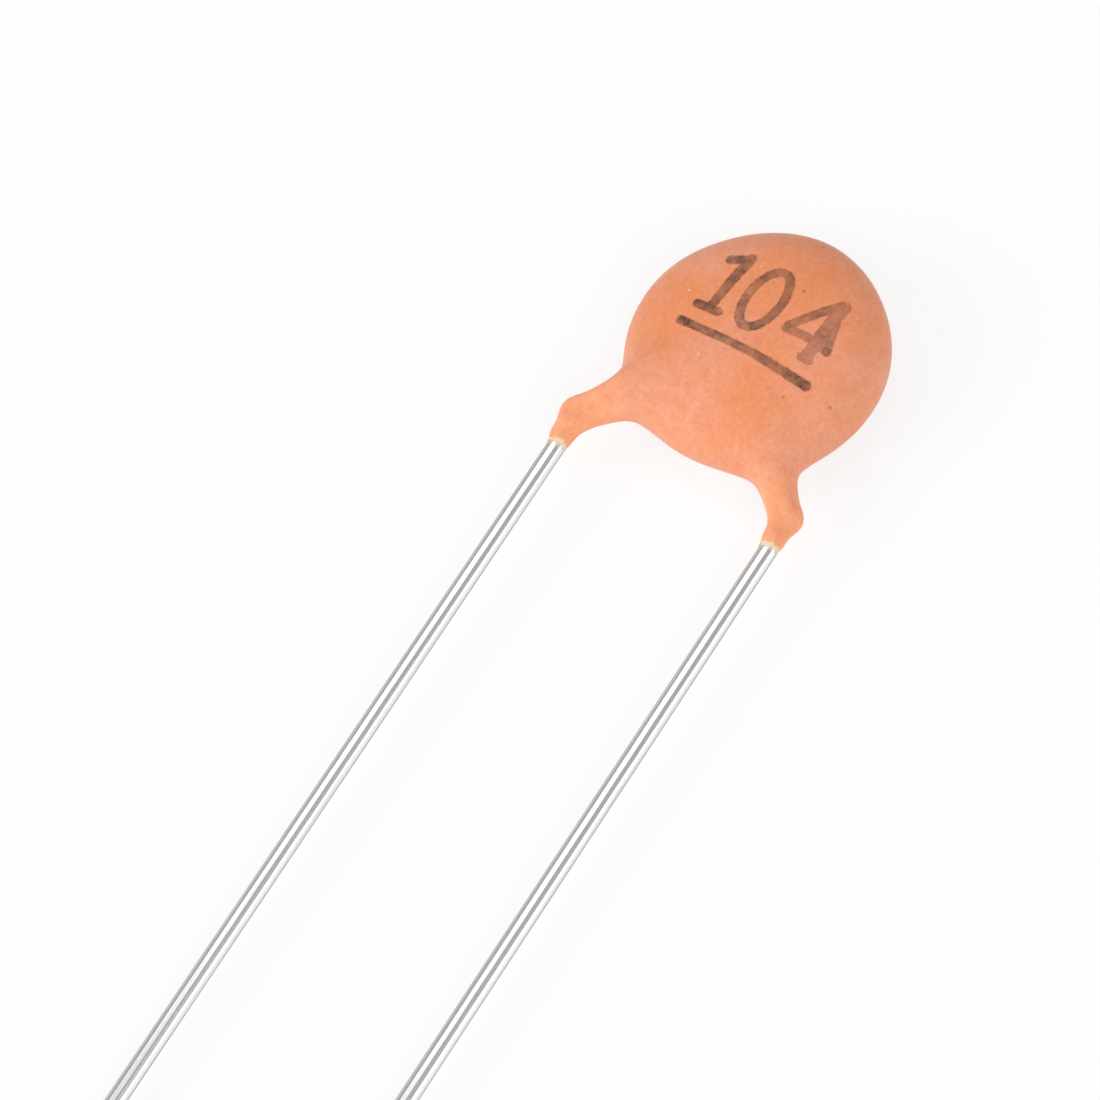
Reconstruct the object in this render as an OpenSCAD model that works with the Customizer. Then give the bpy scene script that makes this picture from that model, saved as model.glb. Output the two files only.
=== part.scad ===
// Radial-lead ceramic disc capacitor.
// A silvered ceramic plate is held between two kinked wire leads, soldered, and dip-coated.
// It lies on its back face and its two lead ends, with the marked face up.

/* [Ceramic plate] */
// Diameter of the fired ceramic plate
plate_d = 4.5; // [4.1:0.05:4.7]
// Thickness of the ceramic plate
plate_t = 0.3; // [0.2:0.02:0.5]

/* [Silver films] */
// Bare ceramic between a film and the plate's rim
film_margin = 0.2; // [0.1:0.02:0.35]
// Thickness of each fired silver film
film_t = 0.03; // [0.02:0.005:0.05]

/* [Leads] */
// Diameter of the tinned wire
wire_d = 0.38; // [0.3:0.01:0.46]
// Distance between the two leads, centre to centre
lead_pitch = 5.08; // [4.6:0.02:5.6]
// Length of bare lead below the coated legs
lead_length = 26; // [12:0.5:38]
// Drop from the plate's centre to the corner of the elbows
elbow_drop = 2.96; // [2.8:0.02:3.3]
// Turn of each elbow, from the straight lead to the run across the plate
elbow_turn = 45; // [38:1:52]
// Bend radius of the elbows, to the wire's centre line
elbow_r = 0.45; // [0.35:0.05:0.7]
// Bend radius of the two step bends that carry a lead onto the plate's face
step_r = 0.6; // [0.4:0.05:0.7]
// How much thinner the wire is drawn in its bends
bend_thinning = 0.004; // [0.002:0.001:0.01]
// Straight wire left level between the elbow and the step
step_margin = 0.05; // [0.02:0.01:0.15]
// Gap between the end of the step and the plate's rim
rim_gap = 0.04; // [0.02:0.01:0.15]
// Length of wire that lies on the plate's face
grip_length = 2.5; // [2:0.1:3.2]

/* [Solder] */
// Solder that lifts the wire off the film
solder_bed = 0.02; // [0.015:0.005:0.05]
// Width of the solder mound
solder_w = 1.1; // [0.7:0.05:1.4]
// Height of the solder mound over the film
solder_h = 0.3; // [0.22:0.02:0.36]
// Film left bare between the mound and the film's edge
solder_margin = 0.06; // [0.02:0.02:0.2]
// Solder past the cut end of the wire
solder_overrun = 0.3; // [0.1:0.05:0.5]

/* [Coating] */
// Coating around the plate's rim
rim_cover = 0.42; // [0.25:0.01:0.6]
// Coating over the wires in the middle of a face
face_cover = 0.3; // [0.2:0.01:0.45]
// Fullness of the pillow: 2 is an ellipse, more is flatter with a rounder rim
fullness = 2.55; // [2:0.05:3.2]
// Coating around the wire where a leg leaves the pillow
root_cover = 0.24; // [0.15:0.01:0.3]
// How much nearer the middle plane the leg's axis is there than the wire's
root_sink = 0.06; // [0.04:0.01:0.15]
// Coating around the wire at the elbow
leg_cover = 0.14; // [0.1:0.01:0.25]
// Coating around the wire where it ends on the lead
tip_cover = 0.03; // [0.02:0.005:0.05]
// Length of coated lead below the elbow's corner
leg_length = 0.45; // [0.4:0.01:0.8]
// Share of that length over which the coating thins out
neck_share = 0.93; // [0.6:0.01:0.97]
// Size of the fillet between the pillow and its legs
fillet = 0.54; // [0.3:0.02:0.7]

/* [Hidden] */

coat_colour = "#E59670";
ceramic_colour = "#B9A48C";
silver_colour = "#D9D9D4";
solder_colour = "#A9ABAE";
wire_colour = "#C9CCCE";

// Length of a bend that lies inside the straight wire next to it
bend_lap = 0.02;

// Segments round the plate, and round the wire
plate_fn = 96;
wire_fn = 32;

// Heights over the plate's middle plane
film_z = plate_t / 2 + film_t;
grip_z = film_z + solder_bed + wire_d / 2;

// The lead's plan, from the elbow's corner along the run across the plate
corner = [lead_pitch / 2, -elbow_drop, 0];
run = [-sin(elbow_turn), cos(elbow_turn), 0];
reach = -corner * run;
offset_2 = corner * corner - reach * reach;
elbow_tangent = elbow_r * tan(elbow_turn / 2);
rim_at = reach - sqrt(plate_d * plate_d / 4 - offset_2);
step_end = rim_at - rim_gap;
step_start = elbow_tangent + step_margin;
step_len = step_end - step_start;
step_spread = 4 * step_r - grip_z;
step_turn = 2 * atan((step_len - sqrt(step_len * step_len - grip_z * step_spread)) / step_spread);
step_slope = (step_len - 2 * step_r * sin(step_turn)) / cos(step_turn);
grip_end = step_end + grip_length;

// The solder mound, a round-ended loaf along the same run
film_r = plate_d / 2 - film_margin;
mound_reach = film_r - solder_w / 2 - solder_margin;
mound_start = reach - sqrt(mound_reach * mound_reach - offset_2);
mound_end = grip_end + solder_overrun - solder_w / 2;
mound_r = (solder_w * solder_w / 4 + solder_h * solder_h) / (2 * solder_h);

// The coating's pillow and legs
coat_r = plate_d / 2 + rim_cover;
coat_h = grip_z + wire_d / 2 + face_cover;
tip_y = -elbow_drop - leg_length;
lead_end = leg_length + elbow_drop + lead_length;
leg_points = [
    [corner.x, tip_y, 0],
    [corner.x, tip_y + neck_share * leg_length, 0],
    corner,
    corner + run * rim_at - [0, 0, grip_z - root_sink],
    corner + run * grip_end
];
leg_radii = [tip_cover, leg_cover, leg_cover, root_cover, 0] + [for (i = [0:4]) wire_d / 2];

// Attitude at rest: the lowest point of a pillow tilted by an angle, then the tilt and the lift
dual = fullness / (fullness - 1);
function pillow_reach(across, along) = pow(pow(across, dual) + pow(along, dual), 1 / dual);
function tilt_for(depth) = asin((depth - wire_d / 2) / lead_end);
rest_tilt = tilt_for(pillow_reach(coat_r * sin(tilt_for(coat_h)), coat_h));
rest_lift = pillow_reach(coat_r * sin(rest_tilt), coat_h * cos(rest_tilt));
top_y = pillow_reach(coat_r * cos(rest_tilt), coat_h * sin(rest_tilt));
bottom_y = -lead_end * cos(rest_tilt) - wire_d / 2 * sin(rest_tilt);

// Sections of the coating: a fan about the midpoint between the two leg ends
pivot = [0, tip_y, 0];
corner_angle = atan2(corner.x, corner.y - tip_y);
fan = [
    for (a = [0:3.5:42]) a,
    for (a = [43.5:1.5:60]) a,
    for (a = [62.5:2.5:90]) a
];
ring_points = 32;
search_steps = 13;
far_out = 2.2;
tiny = 0.0001;

// Union of two distances with a fillet of size k
function blend(a, b, k) = let (h = max(k - abs(a - b), 0) / k) min(a, b) - h * h * k / 4;

// Distance of p from a rod that tapers from radius ra at a to rb at b
function rod(p, a, b, ra, rb) =
    let (d = b - a, t = min(max((p - a) * d / (d * d), 0), 1))
    norm(p - a - t * d) - ra - (rb - ra) * t;

// Distance of p from the pillow, true at its surface
function pillow(p) =
    let (
        u = max(norm([p.x, p.y]), tiny) / coat_r,
        v = abs(p.z) / coat_h,
        size = pow(pow(u, fullness) + pow(v, fullness), 1 / fullness),
        slope = norm([pow(u / size, fullness - 1) / coat_r, pow(v / size, fullness - 1) / coat_h])
    )
    (size - 1) / slope;

// Distance of p from the leg on the right
function leg(p) = min([
    for (i = [0:3]) rod(p, leg_points[i], leg_points[i + 1], leg_radii[i], leg_radii[i + 1])
]);

// The left leg is the right one turned half round the upright axis
function half_turn(p) = [-p.x, p.y, -p.z];
function coat(p) = blend(pillow(p), leg(p.x < 0 ? half_turn(p) : p), fillet);

// The coating's surface between a point inside it and one outside
function skin_between(inside, outside, steps = search_steps) =
    let (middle = (inside + outside) / 2)
    steps == 0 ? middle :
    coat(middle) < 0 ? skin_between(middle, outside, steps - 1) : skin_between(inside, middle, steps - 1);

// Where a ray of the fan crosses the lead's centre line, as a distance from the pivot
function lead_crossing(a) = a < corner_angle
    ? (corner.x * cos(elbow_turn) + (corner.y - tip_y) * sin(elbow_turn)) / cos(a - 90 + elbow_turn)
    : corner.x / sin(a);

// Height of the ring's centre: it follows the wire down the leg and is level in the pillow
function ring_z(a, at) =
    let (w = min(max((a - 25) / 35, 0), 1))
    a < corner_angle ? -0.6 * grip_z * w * w * (3 - 2 * w) * min(norm(at - corner) / rim_at, 1) : 0;

function ring(a) =
    let (
        ray = [sin(a), cos(a), 0],
        at = pivot + ray * lead_crossing(a),
        seed = at + [0, 0, ring_z(a, at)],
        outer = skin_between(seed, seed + ray * 3 * coat_r),
        inner = skin_between(seed, seed - ray * (lead_crossing(a) - tiny)),
        centre = (outer + inner) / 2,
        width = (outer - inner) / 2,
        height = [0, 0, min(coat_h, max(norm(width), wire_d / 2))]
    )
    [
        for (j = [0:ring_points - 1])
        let (turn = 360 * j / ring_points)
        skin_between(centre, centre + far_out * (width * cos(turn) + height * sin(turn)))
    ];

module coating_body() {
    right_rings = [for (a = fan) ring(a)];
    last = len(fan) - 1;
    left_rings = [
        for (i = [last:-1:1])
        [for (j = [0:ring_points - 1]) half_turn(right_rings[i][(ring_points - j) % ring_points])]
    ];
    rings = concat(left_rings, right_rings);
    bands = len(rings) - 1;
    polyhedron(
        points = [for (r = rings) each r],
        faces = [
            [for (j = [ring_points - 1:-1:0]) j],
            [for (j = [0:ring_points - 1]) bands * ring_points + j],
            for (i = [0:bands - 1], j = [0:ring_points - 1])
            let (
                k = (j + 1) % ring_points,
                a = i * ring_points,
                b = a + ring_points
            )
            each [[a + j, a + k, b + j], [a + k, b + k, b + j]]
        ]
    );
}

// A bend of wire: it starts at the origin along +X and turns towards +Y.
// Drawing thins it a little, and it laps into the straight wire at both ends.
module bend(radius, turn) {
    lap = bend_lap / radius * 180 / PI;
    translate([0, radius, 0])
        rotate([0, 0, -90 - lap])
        rotate_extrude(angle = turn + 2 * lap, $fn = plate_fn)
        translate([radius, 0])
        circle(d = wire_d - bend_thinning, $fn = wire_fn);
}

// Straight wire from the origin along +X
module straight(length) {
    rotate([0, 90, 0])
        cylinder(d = wire_d, h = length, $fn = wire_fn);
}

// Children stand in the right-hand lead's own frame: +X runs from the elbow's corner across the plate
module along_run() {
    translate(corner)
        rotate([0, 0, 90 + elbow_turn])
        children();
}

// The right-hand lead, which steps down onto the back face
module wire_lead() {
    translate([corner.x, -lead_end, 0])
        rotate([0, 0, 90]) {
            straight(lead_end - elbow_drop - elbow_tangent);
            translate([lead_end - elbow_drop - elbow_tangent, 0, 0])
                bend(elbow_r, elbow_turn);
        }
    along_run() {
        translate([elbow_tangent, 0, 0])
            straight(step_margin);
        translate([step_start, 0, 0])
            rotate([-90, 0, 0]) {
                bend(step_r, step_turn);
                translate([step_r * sin(step_turn), step_r * (1 - cos(step_turn)), 0])
                    rotate([0, 0, step_turn])
                    straight(step_slope);
                translate([step_len, grip_z, 0])
                    mirror([1, 0, 0])
                    mirror([0, 1, 0])
                    bend(step_r, step_turn);
            }
        translate([step_end, 0, -grip_z])
            straight(grip_length);
    }
}

// Section of the solder mound, with its flat side on the X axis
module mound_section() {
    intersection() {
        translate([0, solder_h - mound_r])
            circle(r = mound_r, $fn = plate_fn);
        translate([-solder_w / 2, 0])
            square([solder_w, solder_h]);
    }
}

// Half of a round end of the mound, which a half turn sweeps out
module mound_cap() {
    rotate_extrude(angle = 180, $fn = plate_fn)
        intersection() {
            mound_section();
            square([solder_w / 2, solder_h]);
        }
}

// The mound over the end of the right-hand lead, on the back face
module mound() {
    difference() {
        along_run()
            translate([0, 0, -film_z])
            rotate([180, 0, 0]) {
                translate([mound_start, 0, 0])
                    rotate([90, 0, 90])
                    linear_extrude(mound_end - mound_start)
                    mound_section();
                translate([mound_start, 0, 0])
                    rotate([0, 0, 90])
                    mound_cap();
                translate([mound_end, 0, 0])
                    rotate([0, 0, -90])
                    mound_cap();
            }
        wire_lead();
    }
}

module plate() {
    translate([0, 0, -plate_t / 2])
        cylinder(d = plate_d, h = plate_t, $fn = plate_fn);
}

module film() {
    translate([0, 0, plate_t / 2])
        cylinder(r = film_r, h = film_t, $fn = plate_fn);
}

// What belongs to the front face is the same as at the back, turned half round the upright axis
module to_front() {
    rotate([0, 180, 0])
        children();
}

// Lays the capacitor down: on the back of its pillow and the ends of its leads
module laid_down() {
    translate([0, -(top_y + bottom_y) / 2, rest_lift])
        rotate([rest_tilt, 0, 0])
        children();
}

// The coating is dipped round the finished assembly, so it has no clearance from it
module coating() {
    color(coat_colour)
        laid_down()
        difference() {
            coating_body();
            plate();
            film();
            to_front() film();
            mound();
            to_front() mound();
            wire_lead();
            to_front() wire_lead();
        }
}

module ceramic_disc() {
    color(ceramic_colour)
        laid_down()
        plate();
}

module electrode_front() {
    color(silver_colour)
        laid_down()
        film();
}

module electrode_back() {
    color(silver_colour)
        laid_down()
        to_front()
        film();
}

module solder_front() {
    color(solder_colour)
        laid_down()
        to_front()
        mound();
}

module solder_back() {
    color(solder_colour)
        laid_down()
        mound();
}

module lead_left() {
    color(wire_colour)
        laid_down()
        to_front()
        wire_lead();
}

module lead_right() {
    color(wire_colour)
        laid_down()
        wire_lead();
}

coating();
ceramic_disc();
electrode_front();
electrode_back();
solder_front();
solder_back();
lead_left();
lead_right();
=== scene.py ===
"""Dresses a radial-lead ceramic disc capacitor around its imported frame.

The capacitor's own frame has its origin at the centre of the ceramic plate, +X to the right lead,
+Y away from the leads and +Z out of the marked face. Sizes are millimetres in that frame, and each
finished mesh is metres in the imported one.
"""

import logging
import math
from dataclasses import dataclass
from enum import Enum
from typing import Any, Sequence

import bpy
from mathutils import Matrix, Vector


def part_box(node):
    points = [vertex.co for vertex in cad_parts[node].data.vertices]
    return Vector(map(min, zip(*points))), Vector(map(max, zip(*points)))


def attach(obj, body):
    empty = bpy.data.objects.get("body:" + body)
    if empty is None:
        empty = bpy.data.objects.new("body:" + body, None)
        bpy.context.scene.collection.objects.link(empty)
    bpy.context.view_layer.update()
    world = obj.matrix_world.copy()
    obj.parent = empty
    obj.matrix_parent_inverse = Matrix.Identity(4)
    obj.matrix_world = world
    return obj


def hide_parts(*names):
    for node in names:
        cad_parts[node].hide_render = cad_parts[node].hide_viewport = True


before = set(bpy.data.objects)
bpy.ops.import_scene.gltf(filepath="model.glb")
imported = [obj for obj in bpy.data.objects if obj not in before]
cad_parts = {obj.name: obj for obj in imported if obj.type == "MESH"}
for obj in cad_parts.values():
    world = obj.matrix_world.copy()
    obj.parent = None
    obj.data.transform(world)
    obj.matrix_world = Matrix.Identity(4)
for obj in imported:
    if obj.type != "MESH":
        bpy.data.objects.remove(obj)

LOG = logging.getLogger("disc_capacitor")
MM = 0.001
ROOT = "root"

Triple = tuple[float, float, float]

MATH = "ShaderNodeMath"
VECTOR_MATH = "ShaderNodeVectorMath"
MAP_RANGE = "ShaderNodeMapRange"
SEPARATE = "ShaderNodeSeparateXYZ"
NOISE = "ShaderNodeTexNoise"
MIX = "ShaderNodeMix"
MIX_FACTOR, MIX_BELOW, MIX_ABOVE, MIXED = 0, 6, 7, 2
"""Where a Mix node keeps the sockets of its colours, which share their names with others."""

MOST_NOISE = (0.3, 0.7)
"""The range that nearly all of a noise's values lie in."""


class TreeKind(Enum):
    """The two kinds of node tree that the script builds."""

    GEOMETRY = "GeometryNodeTree"
    SHADER = "ShaderNodeTree"


class Socket(Enum):
    """Socket types of a tree's inputs and outputs."""

    NUMBER = "NodeSocketFloat"
    COUNT = "NodeSocketInt"
    VECTOR = "NodeSocketVector"
    SHAPE = "NodeSocketGeometry"
    FINISH = "NodeSocketMaterial"


def linear(colour: str) -> tuple[float, float, float, float]:
    """Turns an sRGB hex colour into linear RGBA.

    Args:
        colour: The colour, such as "#E59670".

    Returns:
        The linear red, green and blue, and an alpha of 1.
    """
    parts = [int(colour[i : i + 2], 16) / 255 for i in (1, 3, 5)]
    red, green, blue = (c / 12.92 if c <= 0.04045 else ((c + 0.055) / 1.055) ** 2.4 for c in parts)
    return red, green, blue, 1.0


def add_node(
    tree: bpy.types.NodeTree,
    kind: str,
    inputs: Sequence[Any] | dict[str | int, Any] = (),
    **settings: Any,
) -> bpy.types.Node:
    """Adds a node with its settings, values and links.

    Args:
        tree: The tree that gets the node.
        kind: The node's type name.
        inputs: What each input holds, in order or by name: a value, a socket, or a node, which
            stands for its first output. None leaves the input alone.
        **settings: The node's own attributes.

    Returns:
        The new node.
    """
    node = tree.nodes.new(kind)
    for name, value in settings.items():
        setattr(node, name, value)
    pairs = inputs.items() if isinstance(inputs, dict) else enumerate(inputs)
    for key, value in pairs:
        if value is None:
            continue
        if isinstance(value, bpy.types.Node):
            value = value.outputs[0]
        if isinstance(value, bpy.types.NodeSocket):
            tree.links.new(value, node.inputs[key])
        else:
            node.inputs[key].default_value = value
    return node


def new_group(
    name: str, kind: TreeKind, inputs: dict[str, Socket], outputs: dict[str, Socket]
) -> tuple[bpy.types.NodeTree, bpy.types.Node]:
    """Makes an empty node group with its sockets.

    Args:
        name: The group's name.
        kind: Geometry or shader.
        inputs: The inputs' names and types, in order.
        outputs: The outputs' names and types, in order.

    Returns:
        The group, and the node in it that gives its inputs.
    """
    tree = bpy.data.node_groups.new(name, kind.value)
    for label, socket in inputs.items():
        tree.interface.new_socket(label, in_out="INPUT", socket_type=socket.value)
    for label, socket in outputs.items():
        tree.interface.new_socket(label, in_out="OUTPUT", socket_type=socket.value)
    return tree, add_node(tree, "NodeGroupInput")


def new_material(name: str) -> tuple[bpy.types.Material, bpy.types.NodeTree]:
    """Makes a material with an empty tree.

    Args:
        name: The material's name.

    Returns:
        The material and its tree.
    """
    material = bpy.data.materials.new(name)
    material.use_nodes = True
    material.node_tree.nodes.clear()
    return material, material.node_tree


def new_object(name: str, data: bpy.types.ID) -> bpy.types.Object:
    """Makes an object and puts it in the scene.

    Args:
        name: The object's name.
        data: Its mesh, curve, lamp or camera.

    Returns:
        The object.
    """
    made = bpy.data.objects.new(name, data)
    bpy.context.scene.collection.objects.link(made)
    return made


def outward(azimuth: float, elevation: float) -> Vector:
    """Gives the direction out to an azimuth and an elevation in degrees, 0 degrees being -Y."""
    turn, rise = math.radians(azimuth), math.radians(elevation)
    return Vector((math.sin(turn) * math.cos(rise), -math.cos(turn) * math.cos(rise), math.sin(rise)))


def rod_distance(kind: TreeKind) -> bpy.types.NodeTree:
    """Builds the group that gives the distance from a rod whose radius changes evenly.

    Args:
        kind: The kind of tree that will use the group.

    Returns:
        The group.
    """
    wants = {
        "Position": Socket.VECTOR,
        "Start": Socket.VECTOR,
        "End": Socket.VECTOR,
        "Start Radius": Socket.NUMBER,
        "End Radius": Socket.NUMBER,
    }
    tree, given = new_group(f"RodDistance{kind.name}", kind, wants, {"Distance": Socket.NUMBER})
    at, start, end, start_r, end_r = (given.outputs[name] for name in wants)
    along = add_node(tree, VECTOR_MATH, [end, start], operation="SUBTRACT")
    offset = add_node(tree, VECTOR_MATH, [at, start], operation="SUBTRACT")
    reach = add_node(tree, VECTOR_MATH, [offset, along], operation="DOT_PRODUCT").outputs["Value"]
    length = add_node(tree, VECTOR_MATH, [along, along], operation="DOT_PRODUCT").outputs["Value"]
    share = add_node(tree, MATH, [reach, length], operation="DIVIDE", use_clamp=True)
    nearest = add_node(tree, VECTOR_MATH, {0: along, "Scale": share}, operation="SCALE")
    away = add_node(tree, VECTOR_MATH, [offset, nearest], operation="SUBTRACT")
    gap = add_node(tree, VECTOR_MATH, [away], operation="LENGTH").outputs["Value"]
    growth = add_node(tree, MATH, [end_r, start_r], operation="SUBTRACT")
    radius = add_node(tree, MATH, [share, growth, start_r], operation="MULTIPLY_ADD")
    distance = add_node(tree, MATH, [gap, radius], operation="SUBTRACT")
    add_node(tree, "NodeGroupOutput", [distance])
    return tree


@dataclass(frozen=True)
class LeadSizes:
    """Sizes of one kinked lead, the right-hand one, in the capacitor's own frame."""

    wire_d: float = 0.38
    pitch: float = 5.08
    elbow_drop: float = 2.96
    elbow_turn: float = 45.0
    elbow_r: float = 0.45
    step_r: float = 0.6
    step_start: float = 0.236396
    step_end: float = 1.618775
    step_slope: float = 18.1329
    grip_length: float = 2.5
    grip_z: float = 0.39
    end_drop: float = 29.41

    @property
    def corner(self) -> Vector:
        """The elbow's corner."""
        return Vector((self.pitch / 2, -self.elbow_drop, 0))

    def along_run(self, distance: float, height: float = 0.0) -> Vector:
        """Gives a point on the run across the plate.

        Args:
            distance: How far from the elbow's corner.
            height: How far above the plate's middle plane.

        Returns:
            The point.
        """
        turn = math.radians(self.elbow_turn)
        along = Vector((-math.sin(turn), math.cos(turn), 0))
        return self.corner + distance * along + Vector((0, 0, height))

    def route(self) -> list[tuple[Vector, float]]:
        """Lists the corners of the lead's route.

        Returns:
            Each corner with its bend radius, from the cut end to the end under the solder.
        """
        middle = (self.step_start + self.step_end) / 2
        half = self.grip_z / math.tan(math.radians(self.step_slope)) / 2
        return [
            (Vector((self.pitch / 2, -self.end_drop, 0)), 0.0),
            (self.corner, self.elbow_r),
            (self.along_run(middle - half), self.step_r),
            (self.along_run(middle + half, -self.grip_z), self.step_r),
            (self.along_run(self.step_end + self.grip_length, -self.grip_z), 0.0),
        ]


@dataclass(frozen=True)
class RestingPlace:
    """Where the capacitor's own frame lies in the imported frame."""

    centre: Vector
    tilt: float

    @classmethod
    def from_frame(cls, lead: LeadSizes) -> "RestingPlace":
        """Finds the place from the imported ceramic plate.

        Args:
            lead: The lead that the capacitor lies on.

        Returns:
            The place.
        """
        low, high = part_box("ceramic_disc")
        centre = (low + high) / 2
        tilt = math.asin((centre.z / MM - lead.wire_d / 2) / lead.end_drop)
        return cls(centre, tilt)

    def own_position(self, tree: bpy.types.NodeTree, stretch: float = 1.0) -> bpy.types.Node:
        """Adds the nodes that give a point in the own frame, in millimetres.

        Args:
            tree: The material's tree.
            stretch: How far a pattern is drawn out along +Y.

        Returns:
            The node that gives the point.
        """
        coordinates = add_node(tree, "ShaderNodeTexCoord")
        scale = (MM, MM * stretch, MM)
        values = [coordinates.outputs["Object"], self.centre, (self.tilt, 0, 0), scale]
        return add_node(tree, "ShaderNodeMapping", values, vector_type="TEXTURE")


def grow(
    name: str, tree: bpy.types.NodeTree, values: dict[str, Any], seed_mesh: bpy.types.ID
) -> bpy.types.Object:
    """Runs a Geometry Nodes tree and keeps its result as a plain mesh object.

    Args:
        name: The new object's name.
        tree: The tree, whose inputs have the names in values.
        values: What each named input of the tree gets.
        seed_mesh: The mesh or curve that the tree starts from.

    Returns:
        The finished object, at the origin and with no modifier.
    """
    carrier = new_object(f"{name}.seed", seed_mesh)
    modifier = carrier.modifiers.new(tree.name, "NODES")
    modifier.node_group = tree
    sockets = [item for item in tree.interface.items_tree if item.in_out == "INPUT"]
    identifiers = {item.name: item.identifier for item in sockets}
    for label, value in values.items():
        modifier[identifiers[label]] = value
    graph = bpy.context.evaluated_depsgraph_get()
    mesh = bpy.data.meshes.new_from_object(carrier.evaluated_get(graph), depsgraph=graph)
    carrier.modifiers.remove(modifier)
    bpy.data.objects.remove(carrier)
    mesh.name = name
    return new_object(name, mesh)


def laid_down(tree: bpy.types.NodeTree, given: bpy.types.Node, shape: bpy.types.Node) -> bpy.types.Node:
    """Adds the nodes that put a shape in its place and shade it smooth.

    Args:
        tree: The piece's tree.
        given: The node that gives its inputs, Placing and Turn among them.
        shape: The shape, in millimetres in the own frame.

    Returns:
        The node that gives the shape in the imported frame.
    """
    values = {
        "Geometry": shape,
        "Translation": given.outputs["Placing"],
        "Rotation": given.outputs["Turn"],
        "Scale": (MM, MM, MM),
    }
    return add_node(tree, "GeometryNodeSetShadeSmooth", [add_node(tree, "GeometryNodeTransform", values)])


def close_tree(tree: bpy.types.NodeTree, given: bpy.types.Node, shape: bpy.types.Node) -> None:
    """Adds the nodes that make a shape real, give it its finish and put it out.

    Args:
        tree: The piece's tree.
        given: The node that gives its inputs, Finish among them.
        shape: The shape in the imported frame.
    """
    real = add_node(tree, "GeometryNodeRealizeInstances", [shape])
    values = {"Geometry": real, "Material": given.outputs["Finish"]}
    add_node(tree, "NodeGroupOutput", [add_node(tree, "GeometryNodeSetMaterial", values)])


@dataclass(frozen=True)
class Blots:
    """Soft noise: the size of its blots in millimetres, and how finely they break up."""

    size: float
    detail: float = 2.0
    breakup: float = 0.5
    seed: float = 0.0

    def at(self, point: Any) -> dict[str, Any]:
        """Gives the inputs of a noise node that draws the blots at a point."""
        fineness = {"Scale": 1 / self.size, "Detail": self.detail, "Roughness": self.breakup}
        return {"Vector": point, "W": self.seed, **fineness}


@dataclass(frozen=True)
class Dots:
    """Scattered round dots, one in each of a share of the cells that space them."""

    spacing: float
    radius: float
    share: float
    core: float = 0.4

    def mask(self, tree: bpy.types.NodeTree, at: bpy.types.Node) -> bpy.types.Node:
        """Adds the dots.

        Args:
            tree: The material's tree.
            at: The node that gives the position in millimetres.

        Returns:
            A node that is 1 in the middle of a dot and 0 outside.
        """
        cells = add_node(tree, "ShaderNodeTexVoronoi", {"Vector": at, "Scale": 1 / self.spacing})
        edge = self.radius / self.spacing
        dot = add_node(tree, MAP_RANGE, [cells.outputs["Distance"], edge, edge * self.core, 0, 1])
        pick = add_node(tree, "ShaderNodeSeparateColor", [cells.outputs["Color"]])
        chosen = add_node(tree, MATH, [pick, self.share], operation="LESS_THAN")
        return add_node(tree, MATH, [dot, chosen], operation="MULTIPLY")


@dataclass(frozen=True)
class Layer:
    """A colour over the ones below it. None of it shows where its pattern reads `start`, and
    `amount` of it where the pattern reads `full`.
    """

    colour: str
    start: float = 0.0
    full: float = 1.0
    amount: float = 1.0


@dataclass(frozen=True)
class InkStroke:
    """One straight stroke of the marking: its strength is how full its ink is, and its flare how
    much wider it ends than it starts.
    """

    start: tuple[float, float]
    end: tuple[float, float]
    width: float
    strength: float = 1.0
    flare: float = 1.0


@dataclass(frozen=True)
class InkRing:
    """One oval stroke of the marking, on the front face."""

    centre: tuple[float, float]
    radii: tuple[float, float]
    lean: float
    width: float
    strength: float


@dataclass(frozen=True)
class ValueMark:
    """The value code with the line under it, in plain stamped numerals."""

    strokes: tuple[InkStroke, ...] = (
        InkStroke((-0.93, 1.46), (-1.05, 0.14), 0.25, 1.0, 0.8),
        InkStroke((-0.99, 1.42), (-1.3, 1.28), 0.21, 1.05, 1.1),
        InkStroke((-1.34, 0.09), (-0.84, 0.09), 0.2, 1.05),
        InkStroke((1.29, 1.4), (0.6, 0.48), 0.2, 0.87),
        InkStroke((0.59, 0.41), (1.1, 0.425), 0.2, 0.7),
        InkStroke((1.1, 0.4), (1.54, 0.34), 0.13, 0.72, 1.3),
        InkStroke((1.33, 1.39), (1.28, 0.06), 0.28, 0.7),
        InkStroke((1.2, 0.0), (1.36, 0.0), 0.2, 0.6),
        InkStroke((1.42, 0.98), (1.56, 0.36), 0.15, 0.7, 1.3),
        InkStroke((1.545, 0.36), (1.57, 0.33), 0.19, 0.9),
        InkStroke((-1.44, -0.375), (0.3, -0.39), 0.185),
        InkStroke((0.3, -0.39), (1.6, -0.495), 0.195, 1.0, 1.15),
        InkStroke((-1.46, -0.375), (-1.3, -0.38), 0.2, 1.35),
        InkStroke((1.4, -0.47), (1.6, -0.505), 0.215, 1.25),
    )
    ring: InkRing = InkRing((-0.145, 0.765), (0.364, 0.702), 4.0, 0.205, 0.92)
    ink: Layer = Layer("#563527")
    cover: float = 0.67
    blur: float = 0.02
    rim: float = 0.03
    rim_extra: float = 0.12
    rim_most: float = 1.2
    ragged: float = 0.07
    edge: Blots = Blots(0.08)
    mottle: Blots = Blots(0.36, 5.0, 0.7)
    mottle_range: tuple[float, float, float, float] = (0.32, 0.68, 0.45, 1.5)
    face_height: float = 0.3


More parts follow.
